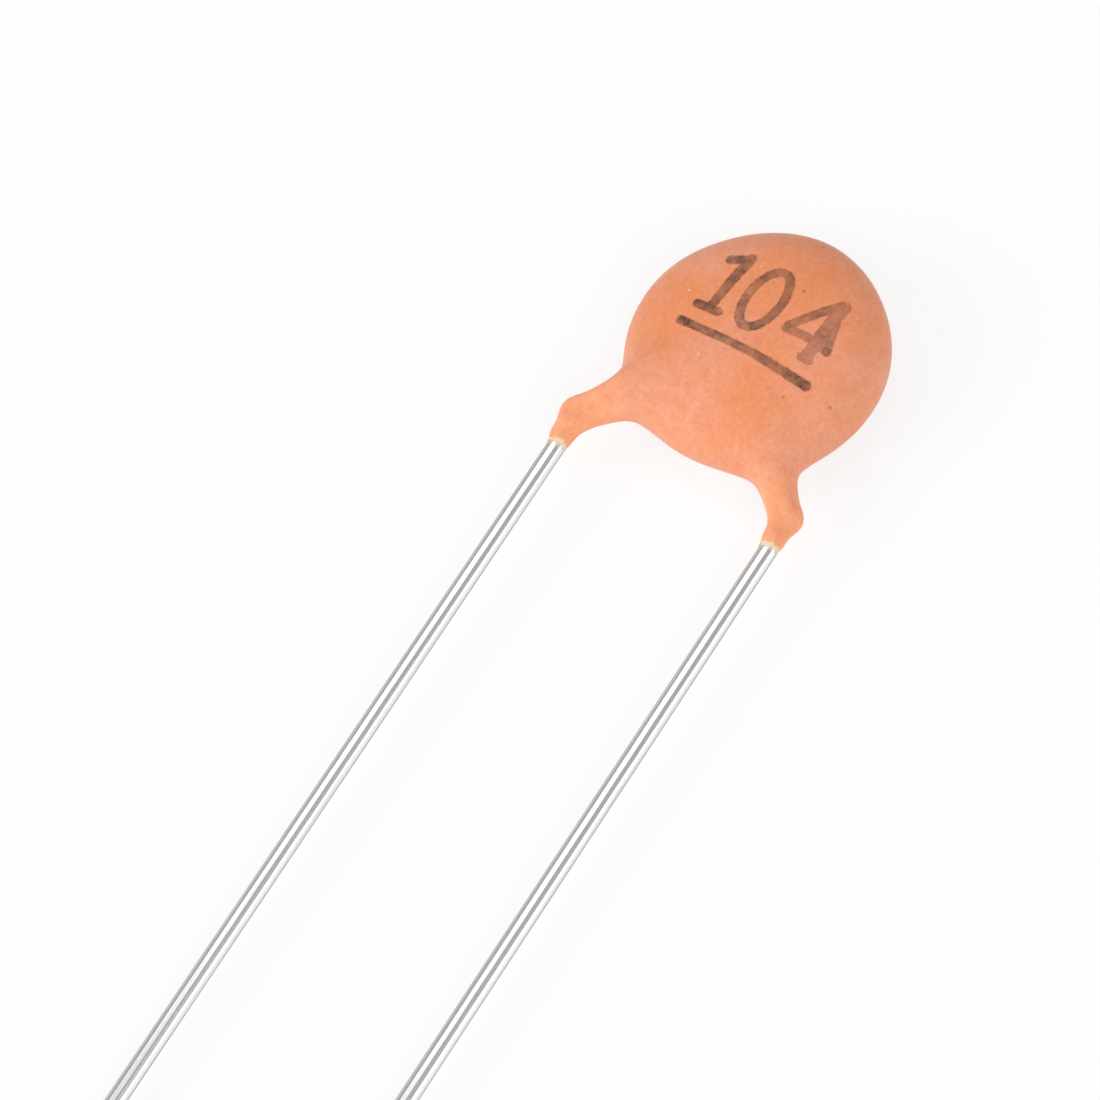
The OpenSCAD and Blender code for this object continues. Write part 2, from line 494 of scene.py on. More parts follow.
@dataclass(frozen=True)
class DippedPhenolic:
    """Phenolic dip coating: dipped, baked and left unpolished, so it is matte with fine grain,
    soft patches of tone and a few pinholes where the bath gave off gas.
    """

    name: str = "DippedPhenolic"
    lead: LeadSizes = LeadSizes()
    colour: str = "#EE9466"
    pale_patch: Layer = Layer("#F09F80", 0.45, 0.62, 0.7)
    deep_patch: Layer = Layer("#E68852", 0.45, 0.3, 0.45)
    # Painted reflection: towards the rim the coating is drawn greyer and less orange, standing in for the
    # white it reflects where it is seen edge on.
    rim: Layer = Layer("#DC9A80", 2.0, 2.7, 0.5)
    # Painted light: the legs are drawn lighter and more orange than the pillow, standing in for the light
    # that falls on them.
    legs: Layer = Layer("#F9A579", 2.75, 3.25, 0.85)
    blot: Layer = Layer("#E68852", 0.42, 0.7, 0.5)
    dark_grain: Layer = Layer("#BE6E4A", 0.5, 0.25, 0.2)
    light_grain: Layer = Layer("#FBBD9E", 0.52, 0.8, 0.23)
    speck: Layer = Layer("#FBBD9E")
    # Painted shade: the pinholes are drawn darker than the coating round them.
    pit_shade: Layer = Layer("#BE6E4A")
    thin_end: Layer = Layer("#E6BE70", 0.182, 0.084, 0.8)
    bare_end: Layer = Layer("#FFF3E0", 0.126, 0.056, 0.9)
    film: tuple[float, float] = (-0.05, 0.098)
    stain_range: tuple[float, float] = (0.4, 0.6)
    least_stain: float = 0.1
    patches: Blots = Blots(1.9, 1.0, seed=41.44)
    blots: Blots = Blots(0.28, 3.0)
    stains: Blots = Blots(0.12)
    frayed: Blots = Blots(0.09)
    peel: Blots = Blots(0.3)
    # The real grain and pinholes are some hundredths of a millimetre; these are drawn twice as
    # coarse, so that they show.
    grain: Blots = Blots(0.085)
    specks: Dots = Dots(0.34, 0.035, 0.14)
    pits: Dots = Dots(0.42, 0.045, 0.3)
    roughness: float = 0.6
    roughness_spread: float = 0.06
    gloss: float = 0.32
    dust: float = 0.15
    grain_depth: float = 0.0006
    peel_depth: float = 0.004
    pit_depth: float = 0.012
    tip_y: float = -3.7
    slant: float = 0.1
    ragged: float = 0.16
    mark: ValueMark = ValueMark()

    def _ink(self, tree: bpy.types.NodeTree, at: bpy.types.Node) -> bpy.types.Node:
        """Adds the marking's ink.

        Args:
            tree: The material's tree.
            at: The node that gives the position in millimetres.

        Returns:
            A node that gives how much ink covers a point, from 0 to 1.
        """
        mark = self.mark
        rod = rod_distance(TreeKind.SHADER)
        flat = add_node(tree, VECTOR_MATH, [at, (1, 1, 0)], operation="MULTIPLY")
        rough = add_node(tree, NOISE, mark.edge.at(flat), noise_dimensions="4D")
        wobble = add_node(tree, MATH, [rough, mark.ragged, -mark.ragged / 2], operation="MULTIPLY_ADD")

        def covered(distance: Any, strength: float) -> bpy.types.Node:
            """Turns a distance into ink: fullest just inside the stroke's outline.

            Args:
                distance: How far a point is outside the stroke.
                strength: How full the ink is inside.

            Returns:
                A node that gives how much ink covers the point.
            """
            uneven = add_node(tree, MATH, [distance, wobble], operation="ADD")
            body = add_node(tree, MAP_RANGE, [uneven, mark.blur, -mark.blur, 0, 1])
            fullest = min(mark.rim_most, strength + mark.rim_extra)
            values = [uneven, -mark.blur, -mark.blur - mark.rim, fullest, strength]
            return add_node(tree, MATH, [body, add_node(tree, MAP_RANGE, values)], operation="MULTIPLY")

        ring = mark.ring
        lean = math.radians(-ring.lean)
        values = [flat, (*ring.centre, 0), (0, 0, lean), (1, 1, 1)]
        local = add_node(tree, "ShaderNodeMapping", values, vector_type="TEXTURE")
        unit = add_node(tree, VECTOR_MATH, [local, (*ring.radii, 1)], operation="DIVIDE")
        slope = add_node(tree, VECTOR_MATH, [unit, (*ring.radii, 1)], operation="DIVIDE")
        reach = add_node(tree, VECTOR_MATH, [unit], operation="LENGTH").outputs["Value"]
        steep = add_node(tree, VECTOR_MATH, [slope], operation="LENGTH").outputs["Value"]
        over = add_node(tree, MATH, [reach, 1], operation="SUBTRACT")
        scaled = add_node(tree, MATH, [over, reach], operation="MULTIPLY")
        gap = add_node(tree, MATH, [scaled, steep], operation="DIVIDE")
        size = add_node(tree, MATH, [gap], operation="ABSOLUTE")
        oval = add_node(tree, MATH, [size, ring.width / 2], operation="SUBTRACT")
        ink = covered(oval, ring.strength)
        for stroke in mark.strokes:
            half = stroke.width / 2
            values = {
                "Position": flat,
                "Start": (*stroke.start, 0),
                "End": (*stroke.end, 0),
                "Start Radius": half,
                "End Radius": half * stroke.flare,
            }
            line = add_node(tree, "ShaderNodeGroup", values, node_tree=rod)
            ink = add_node(tree, MATH, [ink, covered(line, stroke.strength)], operation="MAXIMUM")
        blots = add_node(tree, NOISE, mark.mottle.at(flat), noise_dimensions="4D")
        patchy = add_node(tree, MAP_RANGE, [blots, *mark.mottle_range])
        height = add_node(tree, SEPARATE, [at]).outputs["Z"]
        front = add_node(tree, MATH, [height, mark.face_height], operation="GREATER_THAN")
        uneven = add_node(tree, MATH, [ink, patchy], operation="MULTIPLY")
        shown = add_node(tree, MATH, [uneven, front], operation="MULTIPLY")
        return add_node(tree, MATH, [shown, mark.cover], operation="MULTIPLY", use_clamp=True)

    def _colour(
        self, tree: bpy.types.NodeTree, at: bpy.types.Node, pits: bpy.types.Node, left: bpy.types.Node
    ) -> bpy.types.NodeSocket:
        """Adds the coating's colour, from its patches up to the ink.

        Args:
            tree: The material's tree.
            at: The node that gives the position in millimetres.
            pits: The pinholes' mask.
            left: The node that gives how far a point is from the coating's end on a lead.

        Returns:
            The colour's socket.
        """
        patches, blots, grain, stains = (
            add_node(tree, NOISE, pattern.at(at), noise_dimensions="4D")
            for pattern in (self.patches, self.blots, self.grain, self.stains)
        )
        reach = add_node(tree, VECTOR_MATH, [at], operation="LENGTH").outputs["Value"]
        most = self.thin_end.amount
        stained = add_node(tree, MAP_RANGE, [stains, *self.stain_range, self.least_stain, most])
        below: Any = linear(self.colour)
        for layer, pattern in (
            (self.pale_patch, patches),
            (self.deep_patch, patches),
            # Painted reflection: the rim drawn greyer by its distance from the middle.
            (self.rim, reach),
            # Painted light: the legs drawn lighter by their distance from the middle.
            (self.legs, reach),
            (self.blot, blots),
            (self.dark_grain, grain),
            (self.light_grain, grain),
            (self.speck, self.specks.mask(tree, at)),
            # Painted shade in the pinholes.
            (self.pit_shade, pits),
            (self.thin_end, left),
            (self.bare_end, left),
            (self.mark.ink, self._ink(tree, at)),
        ):
            amount = stained if layer is self.thin_end else layer.amount
            share = add_node(tree, MAP_RANGE, [pattern, layer.start, layer.full, 0, amount])
            values = {MIX_FACTOR: share, MIX_BELOW: below, MIX_ABOVE: linear(layer.colour)}
            below = add_node(tree, MIX, values, data_type="RGBA").outputs[MIXED]
        return below

    def _left_of_skin(self, tree: bpy.types.NodeTree, at: bpy.types.Node) -> bpy.types.Node:
        """Adds the nodes that give how far a point of a leg is from the coating's ragged end.

        Args:
            tree: The material's tree.
            at: The node that gives the position in millimetres.

        Returns:
            A node that gives the millimetres left along the lead.
        """
        parts = add_node(tree, SEPARATE, [at]).outputs
        # Wrapped round at the pitch, both leads have their middle at half of it.
        across = add_node(tree, MATH, [parts["X"], self.lead.pitch, 0.0], operation="WRAP")
        middle, half = self.lead.pitch / 2, self.lead.wire_d / 2
        rise = self.slant * half
        values = [across, middle - half, middle + half, rise - self.tip_y, -rise - self.tip_y]
        slanted = add_node(tree, MAP_RANGE, values)
        frayed = add_node(tree, NOISE, self.frayed.at(at), noise_dimensions="4D")
        centred = add_node(tree, MATH, [frayed, 0.5], operation="SUBTRACT")
        level = add_node(tree, MATH, [centred, self.ragged, parts["Y"]], operation="MULTIPLY_ADD")
        return add_node(tree, MATH, [level, slanted], operation="ADD")

    def material(self, place: RestingPlace) -> bpy.types.Material:
        """Builds the material.

        Args:
            place: Where the capacitor's own frame lies.

        Returns:
            The material.
        """
        material, tree = new_material(self.name)
        at = place.own_position(tree)
        pits = self.pits.mask(tree, at)
        left = self._left_of_skin(tree, at)
        worn = add_node(tree, NOISE, self.peel.at(at), noise_dimensions="4D")
        low, high = self.roughness - self.roughness_spread, self.roughness + self.roughness_spread
        peel = add_node(tree, MATH, [worn, self.peel_depth], operation="MULTIPLY")
        fine = add_node(tree, NOISE, self.grain.at(at), noise_dimensions="4D")
        relief = add_node(tree, MATH, [fine, self.grain_depth, peel], operation="MULTIPLY_ADD")
        relief = add_node(tree, MATH, [pits, -self.pit_depth, relief], operation="MULTIPLY_ADD")
        values = {
            "Base Color": self._colour(tree, at, pits, left),
            "Alpha": add_node(tree, MAP_RANGE, [left, *self.film, 0, 1]),
            "Specular IOR Level": self.gloss,
            "Sheen Weight": self.dust,
            "Roughness": add_node(tree, MAP_RANGE, [worn, *MOST_NOISE, low, high]),
            "Normal": add_node(tree, "ShaderNodeBump", {"Height": relief, "Distance": MM, "Strength": 1.0}),
        }
        add_node(tree, "ShaderNodeOutputMaterial", [add_node(tree, "ShaderNodeBsdfPrincipled", values)])
        return material


@dataclass(frozen=True)
class MetalFinish:
    """A metal with a grain of its own: how it reflects, and the size and depth of that grain.

    The grain is stretched along +Y by `stretch`, which draws it out into lines on a wire. It is
    drawn at some hundredths of a millimetre, coarser than the real one, so that it shows.
    """

    name: str
    colour: str
    dull_colour: str
    roughness: float
    spread: float
    grain_size: float
    grain_depth: float
    stretch: float = 1.0
    edge_tint: float = 1.0
    grain_detail: float = 3.0
    dull_range: tuple[float, float] = (0.35, 0.7)

    def material(self, place: RestingPlace) -> bpy.types.Material:
        """Builds the material.

        Args:
            place: Where the capacitor's own frame lies.

        Returns:
            The material.
        """
        material, tree = new_material(self.name)
        at = place.own_position(tree, self.stretch)
        values = {"Vector": at, "Scale": 1 / self.grain_size, "Detail": self.grain_detail}
        grain = add_node(tree, NOISE, values)
        dull = add_node(tree, MAP_RANGE, [grain, *self.dull_range, 0, 1])
        values = {MIX_FACTOR: dull, MIX_BELOW: linear(self.colour), MIX_ABOVE: linear(self.dull_colour)}
        tint = add_node(tree, MIX, values, data_type="RGBA")
        low, high = self.roughness - self.spread, self.roughness + self.spread
        depth = {"Height": grain, "Distance": self.grain_depth * MM, "Strength": 1.0}
        values = {
            "Base Color": tint.outputs[MIXED],
            "Metallic": 1.0,
            "Roughness": add_node(tree, MAP_RANGE, [grain, *MOST_NOISE, low, high]),
            "Specular Tint": (self.edge_tint, self.edge_tint, self.edge_tint, 1.0),
            "Normal": add_node(tree, "ShaderNodeBump", depth),
        }
        add_node(tree, "ShaderNodeOutputMaterial", [add_node(tree, "ShaderNodeBsdfPrincipled", values)])
        return material


@dataclass(frozen=True)
class FiredCeramic:
    """Barium titanate, pressed and fired: a dense, dull tan with a fine crystal grain."""

    name: str = "FiredCeramic"
    colour: str = "#B9A48C"
    dark_colour: str = "#9C876F"
    roughness: float = 0.7
    grain_size: float = 0.05
    grain_depth: float = 0.002
    spot_range: tuple[float, float] = (0.4, 0.7)

    def material(self, place: RestingPlace) -> bpy.types.Material:
        """Builds the material.

        Args:
            place: Where the capacitor's own frame lies.

        Returns:
            The material.
        """
        material, tree = new_material(self.name)
        at = place.own_position(tree)
        grain = add_node(tree, NOISE, {"Vector": at, "Scale": 1 / self.grain_size})
        spots = add_node(tree, MAP_RANGE, [grain, *self.spot_range, 0, 1])
        values = {MIX_FACTOR: spots, MIX_BELOW: linear(self.colour), MIX_ABOVE: linear(self.dark_colour)}
        tint = add_node(tree, MIX, values, data_type="RGBA")
        depth = {"Height": grain, "Distance": self.grain_depth * MM}
        values = {
            "Base Color": tint.outputs[MIXED],
            "Roughness": self.roughness,
            "Normal": add_node(tree, "ShaderNodeBump", depth),
        }
        add_node(tree, "ShaderNodeOutputMaterial", [add_node(tree, "ShaderNodeBsdfPrincipled", values)])
        return material


TINNED_WIRE = MetalFinish("TinnedWire", "#F5F5F4", "#E8E9E9", 0.23, 0.04, 0.05, 0.0009, 40.0, 0.1)
"""Hot-dipped tin on drawn wire: bright, a little milky, with faint lines along the wire."""

SILVER_FILM = MetalFinish("FiredSilver", "#E4E2DC", "#C9C6BD", 0.5, 0.08, 0.04, 0.001)
"""Silver paste, printed and fired: white metal with a matte, grainy face."""

SOLDER = MetalFinish("TinSolder", "#C3C5C9", "#A9ABAE", 0.32, 0.08, 0.12, 0.004)
"""Tin solder, melted and set: grey and softly rippled."""


@dataclass
class DipCoating:
    """The skin that dipping leaves: a pillow round the plate, drawn out along two kinked legs."""

    lead: LeadSizes
    place: RestingPlace
    finish: DippedPhenolic = DippedPhenolic()
    radius: float = 2.684
    half_height: float = 0.88
    fullness: float = 2.65
    # A lobe is how often the rim swells on the way round, by how much, and towards which angle.
    lobes: tuple[tuple[int, float, float], ...] = (
        (1, 0.016, 0.0),
        (2, 0.032, 14.6),
        (3, 0.031, -34.9),
        (5, 0.015, 18.5),
    )
    fillet: float = 0.84
    knee: float = 0.22
    tip_y: float = -3.84
    neck_y: float = -3.4
    # The legs follow the wires, a little inside the elbow's corner, and end in a film on them.
    elbow_sag: Triple = (-0.05, 0.04, -0.06)
    rim_at: float = 1.65877
    root_z: float = -0.2
    sag: float = 0.17
    drift: float = -0.015
    left_extra: float = 0.035
    belly: float = 0.08
    flat_edge: float = 0.2
    elbow_t: float = 0.26
    root_t: float = 0.5
    tip_r: float = 0.187
    neck_r: float = 0.212
    elbow_r: float = 0.32
    root_r: float = 0.435
    voxel: float = 0.03
    settling: int = 2
    margin: float = 0.2
    ripple: float = 0.02
    ripple_size: float = 1.1
    ripple_detail: float = 1.0
    ragged: float = 0.09
    ragged_size: float = 0.14
    ragged_detail: float = 2.0
    seed: float = 7.0

    def _pillow_group(self) -> bpy.types.NodeTree:
        """Builds the group that gives the distance from a pillow with a rounded rim.

        Returns:
            The group.
        """
        wants = {
            "Position": Socket.VECTOR,
            "Radius": Socket.NUMBER,
            "Half Height": Socket.NUMBER,
            "Fullness": Socket.NUMBER,
        }
        tree, given = new_group("PillowDistance", TreeKind.GEOMETRY, wants, {"Distance": Socket.NUMBER})
        at, radius, height, fullness = (given.outputs[name] for name in wants)
        flat = add_node(tree, VECTOR_MATH, [at, (1, 1, 0)], operation="MULTIPLY")
        out = add_node(tree, VECTOR_MATH, [flat], operation="LENGTH").outputs["Value"]
        parts = add_node(tree, SEPARATE, [at]).outputs
        level = add_node(tree, MATH, [parts["Z"]], operation="ABSOLUTE")
        angle = add_node(tree, MATH, [parts["Y"], parts["X"]], operation="ARCTAN2")
        for count, swell, toward in self.lobes:
            start = -count * math.radians(toward)
            phase = add_node(tree, MATH, [angle, float(count), start], operation="MULTIPLY_ADD")
            wave = add_node(tree, MATH, [phase], operation="COSINE")
            radius = add_node(tree, MATH, [wave, swell, radius], operation="MULTIPLY_ADD")
        out_share = add_node(tree, MATH, [out, radius], operation="DIVIDE")
        up_share = add_node(tree, MATH, [level, height], operation="DIVIDE")
        out_power = add_node(tree, MATH, [out_share, fullness], operation="POWER")
        up_power = add_node(tree, MATH, [up_share, fullness], operation="POWER")
        total = add_node(tree, MATH, [out_power, up_power], operation="ADD")
        root = add_node(tree, MATH, [1.0, fullness], operation="DIVIDE")
        size = add_node(tree, MATH, [total, root], operation="POWER")
        less = add_node(tree, MATH, [fullness, 1.0], operation="SUBTRACT")
        slopes = []
        for share, extent in ((out_share, radius), (up_share, height)):
            ratio = add_node(tree, MATH, [share, size], operation="DIVIDE")
            steep = add_node(tree, MATH, [ratio, less], operation="POWER")
            slopes.append(add_node(tree, MATH, [steep, extent], operation="DIVIDE"))
        both = add_node(tree, "ShaderNodeCombineXYZ", slopes)
        slope = add_node(tree, VECTOR_MATH, [both], operation="LENGTH")
        over = add_node(tree, MATH, [size, 1.0], operation="SUBTRACT")
        distance = add_node(tree, MATH, [over, slope.outputs["Value"]], operation="DIVIDE")
        add_node(tree, "NodeGroupOutput", [distance])
        return tree

    def _skin_group(self) -> bpy.types.NodeTree:
        """Builds the group that gives the distance from the whole skin.

        Returns:
            The group: the pillow and the two legs with a fillet between them, a slow ripple over
            all of it, and a ragged cut where the coating ends on the leads.
        """
        joints = ("Tip", "Neck", "Elbow", "Root", "Grip")
        pillow_labels = ("Radius", "Half Height", "Fullness")
        leg_labels = ("Sag", "Drift", "Left Extra", "Belly", "Elbow Thickness", "Root Thickness")
        skin_labels = ("Fillet", "Ripple", "Ragged", "Seed")
        radii = tuple(f"{joint} Radius" for joint in joints)
        wants = dict.fromkeys(("Position", *joints), Socket.VECTOR)
        wants.update(dict.fromkeys(pillow_labels + leg_labels + skin_labels + radii, Socket.NUMBER))
        tree, given = new_group("SkinDistance", TreeKind.GEOMETRY, wants, {"Distance": Socket.NUMBER})
        inputs = {name: given.outputs[name] for name in wants}
        at = inputs["Position"]
        parts = add_node(tree, SEPARATE, [at]).outputs
        down = parts["Y"]
        tip, neck, elbow, root = (
            add_node(tree, SEPARATE, [inputs[label]]).outputs["Y"]
            for label in ("Tip", "Neck", "Elbow", "Root")
        )
        # The legs sag towards the marked face where they leave the pillow, and drift at the neck.
        sag = add_node(tree, MAP_RANGE, [down, tip, root, 0.0, inputs["Sag"]])
        near = add_node(tree, MAP_RANGE, [down, tip, neck, 0.0, inputs["Drift"]])
        turn = add_node(tree, MATH, [inputs["Drift"], -1.0], operation="MULTIPLY")
        away = add_node(tree, MAP_RANGE, [down, neck, elbow, 0.0, turn])
        drift = add_node(tree, MATH, [near, away], operation="ADD")
        moved = add_node(tree, MATH, [parts["X"], drift], operation="SUBTRACT")
        level = add_node(tree, MATH, [parts["Z"], sag], operation="SUBTRACT")
        # A slab flattens them at the elbow, lower on their underside by the belly.
        flat, full = inputs["Elbow Thickness"], inputs["Root Thickness"]
        gentle = {"interpolation_type": "SMOOTHSTEP"}
        lower = add_node(tree, MAP_RANGE, [down, tip, elbow, full, flat], **gentle)
        extra = add_node(tree, MATH, [full, flat], operation="SUBTRACT")
        upper = add_node(tree, MAP_RANGE, [down, elbow, root, 0.0, extra], **gentle)
        thick = add_node(tree, MATH, [lower, upper], operation="ADD")
        lowered = add_node(tree, MATH, [level, inputs["Belly"]], operation="ADD")
        height = add_node(tree, MATH, [lowered], operation="ABSOLUTE")
        deeper = add_node(tree, MATH, [thick, inputs["Belly"]], operation="ADD")
        slab = add_node(tree, MATH, [height, deeper], operation="SUBTRACT")
        rod = rod_distance(TreeKind.GEOMETRY)
        values = {label: inputs[label] for label in ("Position", *pillow_labels)}
        pillow = add_node(tree, "GeometryNodeGroup", values, node_tree=self._pillow_group())
        legs = []
        for side, more in ((1.0, 0.0), (-1.0, inputs["Left Extra"])):
            # The left leg is the right one turned half round the Y axis.
            turned = [
                add_node(tree, MATH, [moved, side], operation="MULTIPLY"),
                down,
                add_node(tree, MATH, [level, side], operation="MULTIPLY"),
            ]
            point = add_node(tree, "ShaderNodeCombineXYZ", turned)
            leg = None
            for first, last in zip(joints, joints[1:]):
                values = {
                    "Position": point,
                    "Start": inputs[first],
                    "End": inputs[last],
                    "Start Radius": inputs[f"{first} Radius"],
                    "End Radius": inputs[f"{last} Radius"],
                }
                piece = add_node(tree, "GeometryNodeGroup", values, node_tree=rod)
                if leg is None:
                    leg = piece
                else:
                    leg = add_node(tree, MATH, [leg, piece, self.knee], operation="SMOOTH_MIN")
            spare = add_node(tree, MAP_RANGE, [down, tip, root, 0.0, more])
            leg = add_node(tree, MATH, [leg, spare], operation="SUBTRACT")
            legs.append(add_node(tree, MATH, [leg, slab, self.flat_edge], operation="SMOOTH_MAX"))
        both = pillow
        for leg in legs:
            both = add_node(tree, MATH, [both, leg, inputs["Fillet"]], operation="SMOOTH_MIN")
        slow = {"Scale": 1 / self.ripple_size, "Detail": self.ripple_detail}
        slow.update({"Vector": at, "W": inputs["Seed"]})
        wave = add_node(tree, NOISE, slow, noise_dimensions="4D")
        centred = add_node(tree, MATH, [wave, 0.5], operation="SUBTRACT")
        skin = add_node(tree, MATH, [centred, inputs["Ripple"], both], operation="MULTIPLY_ADD")
        fast = {"Scale": 1 / self.ragged_size, "Detail": self.ragged_detail}
        fast.update({"Vector": at, "W": inputs["Seed"]})
        fingers = add_node(tree, NOISE, fast, noise_dimensions="4D")
        reach = add_node(tree, MATH, [fingers, 0.5], operation="SUBTRACT")
        below = add_node(tree, MATH, [tip, down], operation="SUBTRACT")
        cut = add_node(tree, MATH, [reach, inputs["Ragged"], below], operation="MULTIPLY_ADD")
        distance = add_node(tree, MATH, [skin, cut], operation="MAXIMUM")
        add_node(tree, "NodeGroupOutput", [distance])
        return tree

    def _tree(self) -> bpy.types.NodeTree:
        """Builds the tree that turns the distance rule into the skin's mesh.

        Returns:
            The tree.
        """
        skin = self._skin_group()
        items = [item for item in skin.interface.items_tree if item.in_out == "INPUT"]
        shared = {item.name: Socket(item.socket_type) for item in items if item.name != "Position"}
        wants = {
            "Voxel": Socket.NUMBER,
            "Low": Socket.VECTOR,
            "High": Socket.VECTOR,
            "Finish": Socket.FINISH,
            **shared,
            "Placing": Socket.VECTOR,
            "Turn": Socket.VECTOR,
        }
        tree, given = new_group("DippedSkin", TreeKind.GEOMETRY, wants, {"Geometry": Socket.SHAPE})

        def distance() -> bpy.types.Node:
            """Adds the distance rule at each point's own position.

            Returns:
                The node that gives the distance.
            """
            values = {label: given.outputs[label] for label in shared}
            values["Position"] = add_node(tree, "GeometryNodeInputPosition")
            return add_node(tree, "GeometryNodeGroup", values, node_tree=skin)

        depth = add_node(tree, MATH, [1.0, distance()], operation="SUBTRACT")
        low, high = given.outputs["Low"], given.outputs["High"]
        span = add_node(tree, VECTOR_MATH, [high, low], operation="SUBTRACT")
        finer = add_node(tree, MATH, [1.0, given.outputs["Voxel"]], operation="DIVIDE")
        cells = add_node(tree, VECTOR_MATH, {0: span, "Scale": finer}, operation="SCALE")
        counts = add_node(tree, SEPARATE, [cells]).outputs
        values = {
            "Density": depth,
            "Background": 0.0,
            "Min": low,
            "Max": high,
            "Resolution X": counts["X"],
            "Resolution Y": counts["Y"],
            "Resolution Z": counts["Z"],
        }
        block = add_node(tree, "GeometryNodeVolumeCube", values)
        shape = add_node(tree, "GeometryNodeVolumeToMesh", {"Volume": block, "Threshold": 1.0})
        # Each step along the normals carries the mesh's points on to the rule's own surface.
        for _ in range(self.settling):
            back = add_node(tree, MATH, [distance(), -1.0], operation="MULTIPLY")
            normal = add_node(tree, "GeometryNodeInputNormal")
            step = add_node(tree, VECTOR_MATH, {0: normal, "Scale": back}, operation="SCALE")
            shape = add_node(tree, "GeometryNodeSetPosition", {"Geometry": shape, "Offset": step})
        close_tree(tree, given, laid_down(tree, given, shape))
        return tree

    def build(self) -> bpy.types.Object:
        """Builds the skin and lets it stand for the CAD coating.

        Returns:
            The finished piece.
        """
        lead = self.lead
        half_wire = lead.wire_d / 2
        out_x = lead.pitch / 2 + self.elbow_r + self.margin
        values = {
            "Voxel": self.voxel,
            "Low": (-out_x, self.tip_y - self.margin, -self.half_height - self.margin),
            "High": (out_x, self.radius + self.margin, self.half_height + self.margin),
            "Finish": self.finish.material(self.place),
            "Radius": self.radius,
            "Half Height": self.half_height,
            "Fullness": self.fullness,
            "Fillet": self.fillet,
            "Tip": (lead.pitch / 2, self.tip_y, 0.0),
            "Neck": (lead.pitch / 2, self.neck_y, 0.0),
            "Elbow": tuple(lead.corner + Vector(self.elbow_sag)),
            "Root": tuple(lead.along_run(self.rim_at, self.root_z)),
            "Grip": tuple(lead.along_run(lead.step_end + lead.grip_length)),
            "Tip Radius": self.tip_r,
            "Neck Radius": self.neck_r,
            "Elbow Radius": self.elbow_r,
            "Root Radius": self.root_r,
            "Grip Radius": half_wire,
            "Sag": self.sag,
            "Drift": self.drift,
            "Left Extra": self.left_extra,
            "Belly": self.belly,
            "Elbow Thickness": self.elbow_t,
            "Root Thickness": self.root_t,
            "Ripple": self.ripple,
            "Ragged": self.ragged,
            "Seed": self.seed,
            "Placing": tuple(self.place.centre),
            "Turn": (self.place.tilt, 0.0, 0.0),
        }
        piece = grow("dipped_coating", self._tree(), values, bpy.data.meshes.new("coating_seed"))
        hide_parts("coating")
        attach(piece, ROOT)
        LOG.info("%s: %d faces", piece.name, len(piece.data.polygons))
        return piece


@dataclass
class Leads:
    """The two tinned leads, drawn along their kinked route."""

    lead: LeadSizes
    place: RestingPlace
    finish: MetalFinish = TINNED_WIRE
    sides: int = 40
    bend_steps: int = 10
    sharp_angle: float = 60.0

    def _tree(self) -> bpy.types.NodeTree:
        """Builds the tree that rounds a route's corners and sweeps the wire along it.

        Returns:
            The tree.
        """
        wants = {
            "Route": Socket.SHAPE,
            "Wire Radius": Socket.NUMBER,
            "Sides": Socket.COUNT,
            "Bend Steps": Socket.COUNT,
            "Sharp Angle": Socket.NUMBER,
            "Placing": Socket.VECTOR,
            "Turn": Socket.VECTOR,
            "Finish": Socket.FINISH,
        }
        tree, given = new_group("DrawnLead", TreeKind.GEOMETRY, wants, {"Geometry": Socket.SHAPE})
        bend = add_node(tree, "GeometryNodeInputRadius")
        values = {
            "Curve": given.outputs["Route"],
            "Count": given.outputs["Bend Steps"],
            "Radius": bend,
            "Limit Radius": True,
        }
        rounded = add_node(tree, "GeometryNodeFilletCurve", values, mode="POLY")
        even = add_node(tree, "GeometryNodeSetCurveRadius", {"Curve": rounded, "Radius": 1.0})
        values = {"Resolution": given.outputs["Sides"], "Radius": given.outputs["Wire Radius"]}
        section = add_node(tree, "GeometryNodeCurvePrimitiveCircle", values)
        values = {"Curve": even, "Profile Curve": section, "Fill Caps": True}
        wire = add_node(tree, "GeometryNodeCurveToMesh", values)
        smooth = laid_down(tree, given, wire)
        angle = add_node(tree, "GeometryNodeInputMeshEdgeAngle")
        over = add_node(tree, MATH, [angle, given.outputs["Sharp Angle"]], operation="GREATER_THAN")
        values = {"Geometry": smooth, "Selection": over, "Shade Smooth": False}
        close_tree(tree, given, add_node(tree, "GeometryNodeSetShadeSmooth", values, domain="EDGE"))
        return tree

    def _route(self, name: str, turned: bool) -> bpy.types.Curve:
        """Makes a lead's route as a curve whose radii are its bend radii.

        Args:
            name: The curve's name.
            turned: Whether the lead is the left one, the right one turned half round.

        Returns:
            The curve.
        """
        corners = self.lead.route()
        curve = bpy.data.curves.new(name, "CURVE")
        curve.dimensions = "3D"
        spline = curve.splines.new("POLY")
        spline.points.add(len(corners) - 1)
        side = -1 if turned else 1
        for point, (corner, bend_r) in zip(spline.points, corners):
            point.co = (side * corner.x, corner.y, side * corner.z, 1.0)
            point.radius = bend_r
        return curve

    def build(self) -> list[bpy.types.Object]:
        """Builds both leads and lets each stand for its CAD node.

        Returns:
            The left and the right lead.
        """
        tree = self._tree()
        finish = self.finish.material(self.place)
        made = []
        for node, turned in (("lead_left", True), ("lead_right", False)):
            values = {
                "Wire Radius": self.lead.wire_d / 2,
                "Sides": self.sides,
                "Bend Steps": self.bend_steps,
                "Sharp Angle": math.radians(self.sharp_angle),
                "Placing": tuple(self.place.centre),
                "Turn": (self.place.tilt, 0.0, 0.0),
                "Finish": finish,
            }
            piece = grow(f"tinned_{node}", tree, values, self._route(f"{node}_route", turned))
            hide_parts(node)
            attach(piece, ROOT)
            LOG.info("%s: %d faces", piece.name, len(piece.data.polygons))
            made.append(piece)
        return made


